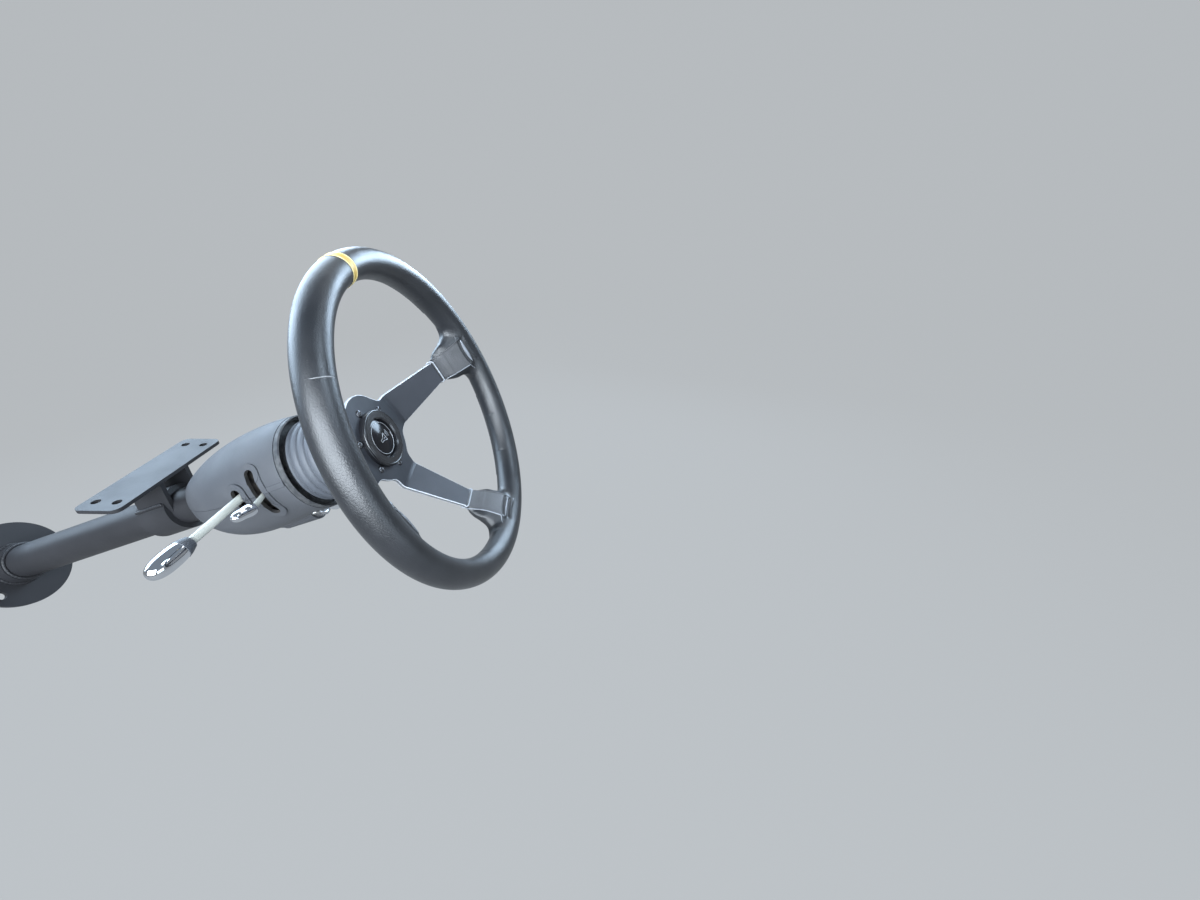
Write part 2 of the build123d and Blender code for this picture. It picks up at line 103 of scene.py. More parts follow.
def piece(name, verts, faces, mat, body, slot, smooth=True, place=world):
    """A piece of the scene: its mesh, finish and body."""
    me = bpy.data.meshes.new(name)
    me.from_pydata(place(verts).tolist(), [], faces)
    me.update()
    o = linked(name, me)
    outward(me)
    for f in me.polygons:
        f.use_smooth = smooth
    me.materials.append(mat)
    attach(o, body)
    return o


def join(parts):
    """Verts and faces of several parts as one."""
    verts, faces = [], []
    for v, f in parts:
        start = len(verts)
        verts += [tuple(q) for q in v]
        faces += [tuple(i + start for i in g) for g in f]
    return np.array(verts), faces


def on_wheel(name, parts, mat, slot):
    """One piece on the wheel from several parts."""
    return piece(name, *join(parts), mat, "wheel", slot, place=wheel_world)


def round_angles(sides):
    return [2 * math.pi * k / sides for k in range(sides)]


def turned(profile, sides, at=(0, 0, 0)):
    """Rings of points: a profile of (radius, height) turned round an upright axis."""
    x, y, z = at
    angles = round_angles(sides)
    return [(x + r * math.cos(a), y + r * math.sin(a), z + height) for r, height in profile for a in angles]


def between_rings(count, sides, first=0, closed=False, flip=False):
    """Quads that join rings of points, each to the next; closed joins the last one to the first."""
    faces = []
    for i in range(count if closed else count - 1):
        a, b = first + i * sides, first + ((i + 1) % count) * sides
        for k in range(sides):
            here, there = (a + k, b + k), (a + (k + 1) % sides, b + (k + 1) % sides)
            faces.append((*here, *there[::-1]) if flip else (here[0], *there, here[1]))
    return faces


def ranged(tree, value, lo, hi, to_lo, to_hi):
    """Node that maps a value from one range to another."""
    r = tree.nodes.new("ShaderNodeMapRange")
    for socket, number in (("From Min", lo), ("From Max", hi), ("To Min", to_lo), ("To Max", to_hi)):
        r.inputs[socket].default_value = number
    tree.links.new(value, r.inputs["Value"])
    return r.outputs["Result"]


def bumped(tree, height, strength, distance, under=None):
    """Bump node over an earlier normal, if there is one."""
    bump = tree.nodes.new("ShaderNodeBump")
    bump.inputs["Strength"].default_value = strength
    bump.inputs["Distance"].default_value = distance
    tree.links.new(height, bump.inputs["Height"])
    if under:
        tree.links.new(under, bump.inputs["Normal"])
    return bump.outputs["Normal"]


def mixed(tree, share, first, second):
    """Node that mixes two colours, the first one a socket or a colour."""
    mix = tree.nodes.new("ShaderNodeMix")
    mix.data_type = "RGBA"
    factor, a, b = mix.inputs[0], mix.inputs[6], mix.inputs[7]
    if isinstance(first, bpy.types.NodeSocket):
        tree.links.new(first, a)
    else:
        a.default_value = (*first, 1)
    b.default_value = (*second, 1)
    tree.links.new(share, factor)
    return mix.outputs[2]


def worked_out(tree, operation, first, second=None):
    """Math node on a socket and, if there is one, a second socket or a number."""
    n = tree.nodes.new("ShaderNodeMath")
    n.operation = operation
    tree.links.new(first, n.inputs[0])
    if isinstance(second, float):
        n.inputs[1].default_value = second
    elif second:
        tree.links.new(second, n.inputs[1])
    return n.outputs["Value"]


# Materials: all from noise in the object's own coordinates.
def material(name, colour, rough, *, rough_to, mottle, other=None, metallic=0.0, rough_scale=25, grain=None,
             pores=None, coat=0.0, coat_rough=0.1, spec=0.5, streak=None):
    """Finish whose colour runs to other in mottles, (scale, share), and whose roughness runs to rough_to.

    grain is a bump of noise, (scale, strength, distance in metres), and pores one of cells. streak stretches
    the noises of the roughness and the grain.
    """
    m = bpy.data.materials.new(name)
    m.use_nodes = True
    nt = m.node_tree
    b = nt.nodes["Principled BSDF"]
    b.inputs["Metallic"].default_value = metallic
    b.inputs["Specular IOR Level"].default_value = spec
    b.inputs["Coat Weight"].default_value = coat
    b.inputs["Coat Roughness"].default_value = coat_rough
    tc = nt.nodes.new("ShaderNodeTexCoord")

    def noise(scale, detail, stretch=None):
        n = nt.nodes.new("ShaderNodeTexNoise")
        n.inputs["Scale"].default_value = scale
        n.inputs["Detail"].default_value = detail
        if stretch:
            mp = nt.nodes.new("ShaderNodeMapping")
            mp.inputs["Rotation"].default_value = (-rake, 0, 0)
            mp.inputs["Scale"].default_value = stretch
            nt.links.new(tc.outputs["Object"], mp.inputs["Vector"])
            nt.links.new(mp.outputs["Vector"], n.inputs["Vector"])
        else:
            nt.links.new(tc.outputs["Object"], n.inputs["Vector"])
        return n.outputs["Fac"]

    patches = ranged(nt, noise(mottle[0], 5), 0.35, 0.7, 0.0, mottle[1])
    nt.links.new(mixed(nt, patches, colour, other or [c * 1.35 for c in colour]), b.inputs["Base Color"])
    nt.links.new(ranged(nt, noise(rough_scale, 4, streak), 0.3, 0.7, rough, rough_to), b.inputs["Roughness"])
    normal = None
    if grain:
        normal = bumped(nt, noise(grain[0], 4, streak), grain[1], grain[2])
    if pores:
        v = nt.nodes.new("ShaderNodeTexVoronoi")
        v.feature = "DISTANCE_TO_EDGE"
        v.inputs["Scale"].default_value = pores[0]
        nt.links.new(tc.outputs["Object"], v.inputs["Vector"])
        walls = ranged(nt, v.outputs["Distance"], 0.0, 0.12, 0.0, 1.0)
        normal = bumped(nt, walls, pores[1], pores[2], normal)
    if normal:
        nt.links.new(normal, b.inputs["Normal"])
    return m


leather = material("rim_leather", (0.008, 0.009, 0.011), 0.29, other=(0.015, 0.016, 0.019),
                   mottle=(26, 0.9), rough_to=0.40, rough_scale=38, grain=(900, 0.35, 0.0004),
                   pores=(430, 0.22, 0.0003), coat=0.15, coat_rough=0.42, spec=0.6)
# Lighter leather for the padded ends' front panels; part of its lightness is a painted sheen.
panel_leather_and_sheen = material("panel_leather_and_sheen", (0.055, 0.055, 0.058), 0.42, other=(0.078, 0.078, 0.083),
                         mottle=(40, 0.9), rough_to=0.54, rough_scale=45, grain=(900, 0.4, 0.0004),
                         pores=(430, 0.28, 0.0003), spec=0.6)
# Pale grey leather for the folds and lower creases on the black leather: a painted highlight.
painted_highlight_leather = material("painted_highlight_edge", (0.17, 0.18, 0.20), 0.30, other=(0.24, 0.25, 0.275), mottle=(120, 0.9),
                rough_to=0.4, rough_scale=80, grain=(1100, 0.3, 0.0003), spec=0.7)
# Pale grey on the black leather's folded hem: a painted highlight.
painted_hem_highlight = material("painted_hem_highlight", (0.30, 0.32, 0.35), 0.28, other=(0.38, 0.40, 0.43), mottle=(120, 0.9),
                    rough_to=0.4, spec=0.7)
yellow = material("mark_leather", (0.50, 0.31, 0.045), 0.4, other=(0.62, 0.41, 0.09), mottle=(120, 0.8),
                  rough_to=0.55, grain=(1100, 0.35, 0.0003), pores=(600, 0.2, 0.0002))
# Paler cream for the mark's rolled edges, partly their own colour and partly a painted highlight.
cream_and_highlight = material("mark_edge_and_highlight", (0.62, 0.50, 0.22), 0.45, other=(0.74, 0.64, 0.36), mottle=(150, 0.8),
                 rough_to=0.6, grain=(1500, 0.3, 0.0002))
thread = material("thread", (0.030, 0.031, 0.034), 0.55, mottle=(300, 0.8), rough_to=0.7,
                  grain=(2500, 0.4, 0.0002))
# Light grey for the joint line: partly a painted highlight.
seam_grey = material("joint_seam", (0.16, 0.165, 0.17), 0.5, other=(0.30, 0.30, 0.31), mottle=(260, 0.9),
                     rough_to=0.65)
rubber = material("boss_rubber", (0.062, 0.068, 0.080), 0.44, other=(0.088, 0.095, 0.108), mottle=(30, 0.8),
                  rough_to=0.58, rough_scale=30, grain=(1500, 0.15, 0.0003), spec=0.35)
plastic = material("cover_plastic", (0.050, 0.053, 0.060), 0.46, other=(0.066, 0.068, 0.074),
                   mottle=(18, 0.9), rough_to=0.58, rough_scale=35, grain=(1300, 0.25, 0.0004),
                   pores=(700, 0.12, 0.0002), spec=0.28)
scuffed = material("ring_plastic", (0.024, 0.026, 0.030), 0.48, other=(0.076, 0.077, 0.079),
                   mottle=(210, 0.95), rough_to=0.7, rough_scale=120, grain=(700, 0.4, 0.0004), spec=0.35)
horn_plastic = material("horn_plastic", (0.013, 0.013, 0.015), 0.17, mottle=(60, 0.8), rough_to=0.25,
                        grain=(1200, 0.1, 0.0002), spec=0.8)
gloss = material("button_gloss", (0.005, 0.005, 0.007), 0.10, mottle=(50, 0.8), rough_to=0.16, coat=0.15,
                 coat_rough=0.05, spec=0.3)
silver = material("symbol_silver", (0.50, 0.51, 0.53), 0.3, metallic=0.6, mottle=(80, 0.6), rough_to=0.4)
black_metal = material("boss_metal", (0.035, 0.036, 0.04), 0.36, metallic=0.6, mottle=(60, 0.6),
                       rough_to=0.46, grain=(80, 0.15, 0.0001), streak=(1, 30, 1))
steel = material("shaft_steel", (0.34, 0.34, 0.35), 0.24, metallic=1.0, other=(0.24, 0.235, 0.23),
                 mottle=(45, 0.7), rough_to=0.38, grain=(60, 0.2, 0.0001), streak=(1, 40, 1))
brass = material("bush_brass", (0.42, 0.30, 0.11), 0.28, metallic=1.0, mottle=(60, 0.6), rough_to=0.42)
paint = material("tube_paint", (0.016, 0.016, 0.018), 0.42, mottle=(30, 0.7), rough_to=0.52,
                 grain=(220, 0.12, 0.0006), spec=0.3)
stalk = material("stalk_plastic", (0.40, 0.41, 0.37), 0.30, other=(0.48, 0.48, 0.44), mottle=(50, 0.8),
                 rough_to=0.40, grain=(900, 0.08, 0.0002))
chrome = material("tip_chrome", (0.74, 0.76, 0.80), 0.035, metallic=1.0, other=(0.66, 0.68, 0.72),
                  mottle=(70, 0.6), rough_to=0.08, rough_scale=60)
switch_black = material("switch_plastic", (0.020, 0.018, 0.017), 0.42, other=(0.095, 0.083, 0.074),
                        mottle=(140, 0.9), rough_to=0.6)
cast = material("lock_metal", (0.26, 0.26, 0.27), 0.4, metallic=0.9, other=(0.18, 0.18, 0.19),
                mottle=(60, 0.8), rough_to=0.55, grain=(900, 0.2, 0.0002))
screw_black = material("screw_black", (0.09, 0.092, 0.10), 0.16, metallic=0.85, other=(0.17, 0.17, 0.18),
                       mottle=(170, 0.8), rough_to=0.28)
zinc = material("screw_zinc", (0.42, 0.42, 0.41), 0.28, metallic=1.0, mottle=(120, 0.7), rough_to=0.42)
neck_grey = material("tip_neck", (0.050, 0.056, 0.068), 0.34, other=(0.085, 0.090, 0.102),
                     mottle=(160, 0.8), rough_to=0.46)
# Dark walls of the cover's slots: painted shade.
slot_shade = material("slot_wall_shade", (0.020, 0.019, 0.019), 0.5, other=(0.050, 0.046, 0.043),
                     mottle=(140, 0.9), rough_to=0.65)
# Pale metal of the sheet's broken edges: partly worn bare metal, partly a painted highlight.
bare_metal_and_highlight = material("bare_edge_and_highlight", (0.62, 0.64, 0.67), 0.42, metallic=0.4, mottle=(90, 0.6), rough_to=0.50)


def sheet_material():
    """Satin black sheet whose cut edges, the faces that run along the column's axis, are partly bare metal,
    made pale partly as a painted highlight.
    """
    m = material("spoke_metal", (0.036, 0.039, 0.047), 0.40, metallic=0.25, other=(0.050, 0.053, 0.063),
                 mottle=(26, 0.9), rough_to=0.50, rough_scale=40, grain=(1600, 0.18, 0.0002))
    nt = m.node_tree
    b = nt.nodes["Principled BSDF"]
    geo = nt.nodes.new("ShaderNodeNewGeometry")
    dot = nt.nodes.new("ShaderNodeVectorMath")
    dot.operation = "DOT_PRODUCT"
    dot.inputs[1].default_value = tuple(axes[2])
    nt.links.new(geo.outputs["True Normal"], dot.inputs[0])
    bare = ranged(nt, worked_out(nt, "ABSOLUTE", dot.outputs["Value"]), 0.71, 0.76, 0.35, 0.0)
    nt.links.new(ranged(nt, bare, 0.0, 1.0, 0.25, 0.85), b.inputs["Metallic"])
    black = b.inputs["Base Color"].links[0].from_socket
    nt.links.new(mixed(nt, bare, black, (0.46, 0.47, 0.49)), b.inputs["Base Color"])
    return m


for name, m in {
    "spoke_sheet": sheet_material(), "horn_ring": horn_plastic, "horn_button": gloss, "hub_boss": black_metal,
    "boss_cover": rubber, "boss_collar": horn_plastic, "steering_shaft": steel, "column_tube": paint,
    "upper_bush": brass, "lower_bush": brass, "cover_upper": plastic, "cover_lower": plastic,
    "cover_ring": scuffed, "stalk_long_rod": stalk, "stalk_long_tip": chrome, "stalk_short_rod": stalk,
    "stalk_short_tip": chrome, "switch_block": switch_black, "ignition_lock": cast, "ignition_key": chrome,
    "lower_flange": paint, "upper_bracket": paint, "leather_rim": leather, "rim_mark": yellow,
}.items():
    nodes[name].data.materials.clear()
    nodes[name].data.materials.append(m)

# The walls of the cover's two slots are rougher and painted dark: painted shade inside the slots.
for name in ("cover_upper", "cover_lower"):
    o = nodes[name]
    o.data.materials.append(slot_shade)
    for f in o.data.polygons:
        x, y, z = axes @ (np.array(f.center) * 1000 - centre)
        normal = axes @ np.array(f.normal)
        radius, around = math.hypot(x, y), math.degrees(math.atan2(y, x)) % 360
        outward_share = abs(normal[0] * x + normal[1] * y) / max(radius, 1e-6)
        for depth, start, stop in slots:
            past = math.radians(around - min(max(around, start), stop)) * radius
            on_outline = abs(math.hypot(past, -z - depth) - slot_half) < 0.4
            if on_outline and outward_share < 0.5 and x < -20:
                f.material_index = 1

# The sheet's edges are broken, worn to bare metal and made pale, partly as a painted highlight. The weld
# joins the faces that came apart in the frame's mesh.
sheet_node = nodes["spoke_sheet"]
weld = sheet_node.modifiers.new("joined_faces", "WELD")
weld.merge_threshold = 0.00001
bevel = sheet_node.modifiers.new("broken_edge", "BEVEL")
bevel.width = 0.0006
bevel.segments = 2
bevel.limit_method = "ANGLE"
bevel.angle_limit = math.radians(50)
bevel.harden_normals = True
sheet_node.data.materials.append(bare_metal_and_highlight)
bevel.material = 1

# Leather rim: one skin over the rim and the three padded spoke ends.
spoke_run, spoke_climb = 103.0, 74.2                # a spoke past its bend, across and along the column
spoke_rise = spoke_climb / spoke_run
thick = sheet * math.hypot(1, spoke_rise)           # the rising sheet, measured along the column
hem_x = 112.5                                       # where the leather starts, along the spoke
# Places along the spoke, in mm. The strip's and creases' ends are slopes from one place to another.
strip_start, strip_stop = (113.9, 114.9), (120.4, 121.8)    # sunk strip past the hem
crease_start, crease_stop = (121, 123), (141, 146)  # raised creases along a panel
cross_crease = 122.6                                # raised crease across a panel
fold_x = 139.6                                      # first fold
second_fold, fold_ridge = 6.0, 8.6                  # how far past it the second fold and a bead are
fold_bow = 0.004                                    # folds bow to the rim by this times the square across
voxel = 1.6


def on_sheet(x, front, edge):
    """Depths of panel, edge and back where the leather lies on the rising sheet."""
    depth = hub_face - spoke_rise * (x - spoke_bend)
    return depth - front, depth + edge, depth + thick + leather_thick


# Sections of a padded end: x along the spoke, then depths and half widths of panel, edge and back.
rows = [
    (104.0, *on_sheet(104.0, leather_thick, 2.5), 15.4, 16.6, 15.4),
    (hem_x, *on_sheet(hem_x, leather_thick, 2.5), 14.9, 16.0, 14.9),
    (118.5, *on_sheet(118.5, 3.0, 2.0), 14.8, 17.6, 15.2),
    (127.0, 8.4, 14.0, 28.1, 15.7, 24.5, 19.4),
    (134.2, 0.5, 9.5, 22.5, 16.5, 26.2, 22.1),
    (141.5, -6.6, 4.1, 17.0, 17.3, 30.6, 26.2),
    (149.2, -9.4, 0.5, 12.5, 17.9, 41.5, 36.0),
    (157.9, -10.9, 0.0, 10.9, 17.0, 40.8, 36.7),
    (170.0, -10.9, 0.0, 10.9, 17.0, 40.8, 36.7),
]
# The same as a table of fine steps along the spoke, blurred so that the sections run into each other.
grid_step = 0.5
grid = np.arange(100.0, 176.0, grid_step)
row_x, *columns = zip(*rows)
table = np.array([np.interp(grid, row_x, values) for values in columns])
reach, blur = 12, 1.6                               # steps to each side, and the blur's width in mm
kernel = np.exp(-0.5 * (np.arange(-reach, reach + 1) * grid_step / blur) ** 2)
kernel /= kernel.sum()
table = np.array([np.convolve(np.pad(t, reach, mode="edge"), kernel, mode="valid") for t in table])


def panel_depth(x):
    return np.interp(x, grid, table[0])


def panel_half(x):
    return np.interp(x, grid, table[3])


def larger(a, b, k):
    """The larger of two, blended over k where they are close."""
    h = np.maximum(k - np.abs(a - b), 0) / k
    return np.maximum(a, b) + h * h * k / 4


def smaller(a, b, k):
    """The smaller of two, blended over k where they are close."""
    h = np.maximum(k - np.abs(a - b), 0) / k
    return np.minimum(a, b) - h * h * k / 4


def torus(p):
    """Distance to the bare rim's surface, below 0 inside."""
    q = np.hypot(p[:, 0], p[:, 1]) - rim_radius
    e = np.maximum(np.sqrt((q / rim_a) ** 2 + (p[:, 2] / rim_b) ** 2), 1e-6)
    slope = np.sqrt((q / rim_a ** 2) ** 2 + (p[:, 2] / rim_b ** 2) ** 2) / e
    return (e - 1) / slope


def pad(x, y, z, hem=True):
    """Distance to a padded end's surface, below 0 inside. x is along the spoke, z towards the driver."""
    front, edge, back, w_panel, w_edge, w_back = [np.interp(x, grid, t) for t in table]
    y = np.abs(y)

    def side(y0, z0, y1, z1):
        t = np.hypot(y1 - y0, z1 - z0)
        return ((y - y0) * (z0 - z1) + (z - z0) * (y1 - y0)) / t

    slope = 0.72                                    # distance per mm of depth, as panel and back lean
    top = (z + front) * slope
    upper = side(w_panel, -front, w_edge, -edge)
    lower = side(w_edge, -edge, w_back, -back)
    under = (-z - back) * slope
    d = larger(larger(top, upper, 3.0), larger(lower, under, 4.0), 5.0)
    d = larger(d, np.hypot(x, y) - rim_radius + 2.0, 6.0)
    if hem:
        d = larger(d, hem_x - x, 1.2)
    return d


def local(p, angle):
    """Points in the frame of the spoke at that angle: along it, across it, towards the driver."""
    return (*spun(p[:, 0], p[:, 1], -math.radians(angle)), p[:, 2])


def rise(x, start, stop):
    """0 before start, 1 after stop, smooth between."""
    t = np.clip((x - start) / (stop - start), 0, 1)
    return t * t * (3 - 2 * t)


def swell(off, width):
    """1 on a line, falling off smoothly to both sides."""
    return np.exp(-(off / width) ** 2)


def skin(p):
    """Distance to the whole leather skin, below 0 inside: the rim, its padded ends and their folds."""
    d = torus(p)
    for angle in spoke_angles:
        lx, ly, lz = local(p, angle)
        near = (lx > 95) & (np.abs(ly) < 85)
        x, y, z = lx[near], np.abs(ly[near]), lz[near]
        wide = 3.0 + 4.0 * np.clip((y - 18.0) / 12.0, 0, 1)
        e = smaller(d[near], pad(x, y, z), wide)
        # Sunk strip past the hem, raised creases round the panel, then folds and a bead beside the rim.
        e += 0.5 * rise(x, *strip_start) * (1 - rise(x, *strip_stop))
        panel = panel_half(x)
        on_front = 1 - rise(np.abs(z + panel_depth(x)), 3.0, 6.0)
        e -= 0.6 * swell(y - panel, 1.2) * on_front * rise(x, *crease_start) * (1 - rise(x, *crease_stop))
        e -= 0.55 * swell(x - cross_crease, 1.3) * on_front * (1 - rise(y, panel - 1, panel + 2))
        fold = x - (fold_x + fold_bow * y * y)
        mask = np.clip(1 - (y / 17.5) ** 6, 0, 1) * (z > -2)
        e += mask * (1.4 * swell(fold, 1.2) + 1.2 * swell(fold - second_fold, 1.2))
        e -= mask * 0.6 * swell(fold - fold_ridge, 1.3)
        d[near] = e
    return d


def project(p, steps=4, half_step=0.05, longest=2.5):
    """Moves points onto the skin along its slope, which is measured half a step to each side."""
    for _ in range(steps):
        slope = np.empty_like(p)
        for k in range(3):
            ahead, behind = p.copy(), p.copy()
            ahead[:, k] += half_step
            behind[:, k] -= half_step
            slope[:, k] = (skin(ahead) - skin(behind)) / (2 * half_step)
        squared = np.maximum((slope * slope).sum(1), 0.15)
        step = np.clip(skin(p) / squared, -longest, longest)
        p = p - slope * step[:, None]
    return p


def rough_rim():
    """Coarse closed bodies that the voxel remesh joins: the rim and three padded ends."""
    verts = []
    steps, sides = 240, 20
    for u in round_angles(steps):
        for v in round_angles(sides):
            r = rim_radius + rim_a * math.cos(v)
            verts.append((r * math.cos(u), r * math.sin(u), rim_b * math.sin(v)))
    faces = between_rings(steps, sides, closed=True, flip=True)
    xs = [hem_x, 115.5, 118.5, 121.5, 124, 127, 130, 134, 138, 142, 146, 150, 154]
    for angle in spoke_angles:
        start = len(verts)
        for x in xs:
            front, edge, back, w_panel, w_edge, w_back = [float(np.interp(x, grid, t)) for t in table]
            for y, d in ((-w_panel, front), (w_panel, front), (w_edge, edge),
                         (w_back, back), (-w_back, back), (-w_edge, edge)):
                verts.append((*spun(x, y, math.radians(angle)), -d))
        faces += between_rings(len(xs), 6, first=start)
        faces.append(tuple(start + j for j in range(6)))
        faces.append(tuple(start + 6 * (len(xs) - 1) + j for j in reversed(range(6))))
    return np.array(verts), faces


verts, faces = rough_rim()
me = bpy.data.meshes.new("rough")
me.from_pydata((verts / 1000).tolist(), [], faces)
rough = linked("rough", me)
outward(me)
mod = rough.modifiers.new("remesh", "REMESH")
mod.mode = "VOXEL"
mod.voxel_size = voxel / 1000
got = bpy.data.meshes.new_from_object(rough.evaluated_get(bpy.context.evaluated_depsgraph_get()))
bpy.data.objects.remove(rough)


def relaxed(me):
    """Points of a mesh in mm, spread evenly over the skin."""
    edges = np.array([tuple(e.vertices) for e in me.edges])
    p = project(np.array([v.co for v in me.vertices], float) * 1000)
    for _ in range(2):
        total = np.zeros_like(p)
        count = np.zeros(len(p))
        for a, b in ((0, 1), (1, 0)):
            np.add.at(total, edges[:, a], p[edges[:, b]])
            np.add.at(count, edges[:, a], 1)
        p = project(0.5 * p + 0.5 * total / count[:, None], 2)
    return p


# The padded ends get a finer mesh than the rim.
p = relaxed(got)
got.vertices.foreach_set("co", (p / 1000).ravel())
fine = np.zeros(len(p), bool)
for angle in spoke_angles:
    x, y, z = local(p, angle)
    fine |= (x > 105) & (x < 153) & (np.abs(y) < 46)
bm = bmesh.new()
bm.from_mesh(got)
fine_edges = [e for e in bm.edges if fine[e.verts[0].index] and fine[e.verts[1].index]]
bmesh.ops.subdivide_edges(bm, edges=fine_edges, cuts=1, use_grid_fill=True)
bmesh.ops.triangulate(bm, faces=[f for f in bm.faces if len(f.verts) > 4])
bm.to_mesh(got)
bm.free()
p = relaxed(got)
rim = piece("rim_skin", p, [tuple(f.vertices) for f in got.polygons], leather, "wheel", "rim_leather",
            place=wheel_world)
# The front panels take the lighter leather, which is partly a painted sheen.
rim.data.materials.append(panel_leather_and_sheen)
middles = np.array([p[list(f.vertices)].mean(0) for f in rim.data.polygons])
for angle in spoke_angles:
    x, y, z = local(middles, angle)
    on_front = np.abs(z + panel_depth(x)) < 4
    panel = (x > hem_x + 0.1) & (x < 139.2) & (np.abs(y) < panel_half(x) - 0.6) & on_front
    for k in np.flatnonzero(panel):
        rim.data.polygons[int(k)].material_index = 1
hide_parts("leather_rim")


def surface_between(inside, outside, distance, rounds=26):
    """Where the distance turns from below 0 to above it, found by halving the stretch between."""
    for _ in range(rounds):
        middle = (inside + outside) / 2
        d = distance(middle)
        inside, outside = np.where(d < 0, middle, inside), np.where(d < 0, outside, middle)
    return inside


def section_loop(x, angle, count=96):
    """Points round a padded end's skin at one place along the spoke."""
    centre_z = -(float(panel_depth(x)) + float(np.interp(x, grid, table[2]))) / 2
    t = np.arange(count) * 2 * math.pi / count

    def distance(r):
        return pad(np.full(count, x), r * np.cos(t), centre_z + r * np.sin(t), hem=False)

    r = surface_between(np.zeros(count), np.full(count, 60.0), distance)
    return np.stack([*spun(x, r * np.cos(t), math.radians(angle)), centre_z + r * np.sin(t)], 1)


def tube_along(points, radius, sides=8, closed=True):
    """Verts and faces of a bead along a line of points; radius is one number or one for each point."""
    pts = np.asarray(points, float)
    n = len(pts)
    ahead = np.roll(pts, -1, 0) - np.roll(pts, 1, 0) if closed else np.gradient(pts, axis=0)
    ahead /= np.linalg.norm(ahead, axis=1)[:, None]
    verts = []
    size = np.broadcast_to(radius, (n,))
    for i in range(n):
        u = np.cross(ahead[i], [0.0, 0.0, 1.0])
        if np.linalg.norm(u) < 1e-3:
            u = np.cross(ahead[i], [1.0, 0, 0])
        u /= np.linalg.norm(u)
        v = np.cross(ahead[i], u)
        verts += [pts[i] + size[i] * (math.cos(w) * u + math.sin(w) * v) for w in round_angles(sides)]
    faces = between_rings(n, sides, closed=closed)
    if not closed:
        faces.append(tuple(range(sides))[::-1])
        faces.append(tuple((n - 1) * sides + k for k in range(sides)))
    return verts, faces


# Beads along each hem, pale grey as a painted highlight.
hems = [tube_along(section_loop(hem_x + 0.7, angle), radius=0.75) for angle in spoke_angles]
on_wheel("hem_beads", hems, painted_hem_highlight, "rim_leather")


def front_of(angle, x, y):
    """Points on the skin's front over places on a padded end."""
    across = spun(x, y, math.radians(angle))
    start, stop = -0.5 - np.interp(x, grid, table[1]), np.full(len(x), 24.0)
    z = surface_between(start, stop, lambda z: skin(np.stack([*across, z], 1)), rounds=24)
    return np.stack([*across, z], 1)


# Rolled fold where each panel meets the rim, the finer one past it, and the creases along the panel's sides.
# The fold and the lower creases are pale grey leather, a painted highlight.
folds, ridges, creases, lower_creases = [], [], [], []
fold_y = np.linspace(-16.0, 16.0, 49)
bow = fold_bow * fold_y * fold_y
leaf = np.clip(1 - (fold_y / 16.2) ** 2, 0, 1) ** 0.6
for angle, thickness in zip(spoke_angles, (2.0, 0.9, 1.3)):
    line = front_of(angle, 142.7 + bow, fold_y) - [0, 0, 0.25 * thickness]
    folds.append(tube_along(line, thickness * leaf + 0.05, sides=12, closed=False))
    line = front_of(angle, 147.9 + bow, fold_y) - [0, 0, 0.1]
    ridges.append(tube_along(line, 0.55 * leaf + 0.05, closed=False))
    for side in (-1, 1):
        t = np.linspace(0, 1, 61)
        x = np.interp(t, (0, 0.78, 1), (114.2, 139.5, 144.5))
        y = side * (panel_half(x) + 0.3 + 9.0 * np.clip((t - 0.74) / 0.26, 0, 1) ** 1.6)
        size = 0.62 * np.clip(np.minimum(t / 0.06, (1 - t) / 0.3), 0, 1) ** 0.5 + 0.05
        bead = tube_along(front_of(angle, x, y) - [0, 0, 0.15], size, closed=False)
        (lower_creases if side < 0 else creases).append(bead)
on_wheel("fold_beads", folds, painted_highlight_leather, "rim_leather")
on_wheel("fold_ridges", ridges, leather, "rim_leather")
on_wheel("panel_creases", creases, panel_leather_and_sheen, "rim_leather")
on_wheel("lower_creases", lower_creases, painted_highlight_leather, "rim_leather")


# Top mark: a leather band round the rim between two fine seams.
def rim_point(angle, around, grow=0.0):
    """Point above the bare rim by grow, at an angle along the rim and one round its section."""
    a = math.radians(angle)
    r = rim_radius + (rim_a + grow) * math.cos(around)
    return (r * math.cos(a), r * math.sin(a), (rim_b + grow) * math.sin(around))


def hoop(angle, grow=0.0, sides=84):
    """Closed line round the rim's section."""
    return [rim_point(angle, a, grow) for a in round_angles(sides)]


def band(start, stop, grows):
    """Strip round the rim between two angles, from its height above the leather at shares of its width."""
    hoops = [hoop(start + (stop - start) * share, grow) for share, grow in grows]
    return sum(hoops, []), between_rings(len(hoops), len(hoops[0]), flip=True)


half = math.degrees(mark_width / 2 / rim_radius)
# The band's profile: share of its width, height above the leather.
heights = [(0.0, -0.4), (0.12, 0.05), (0.3, 0.16), (0.5, 0.18), (0.7, 0.16), (0.88, 0.05), (1.0, -0.4)]
mark = on_wheel("mark_band", [band(mark_angle - half, mark_angle + half, heights)], yellow, "mark_leather")
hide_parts("rim_mark")
# The mark's rolled edges are paler, partly a painted highlight.
edge_at, seam_at = 0.84 * half, half + 0.12
edges_of_mark = [tube_along(hoop(mark_angle + off), radius=0.62) for off in (-edge_at, edge_at)]
on_wheel("mark_edges_and_highlight", edges_of_mark, cream_and_highlight, "mark_leather")
seams = [tube_along(hoop(mark_angle + off, -0.12), radius=0.42) for off in (-seam_at, seam_at)]
on_wheel("mark_seams", seams, thread, "rim_leather")

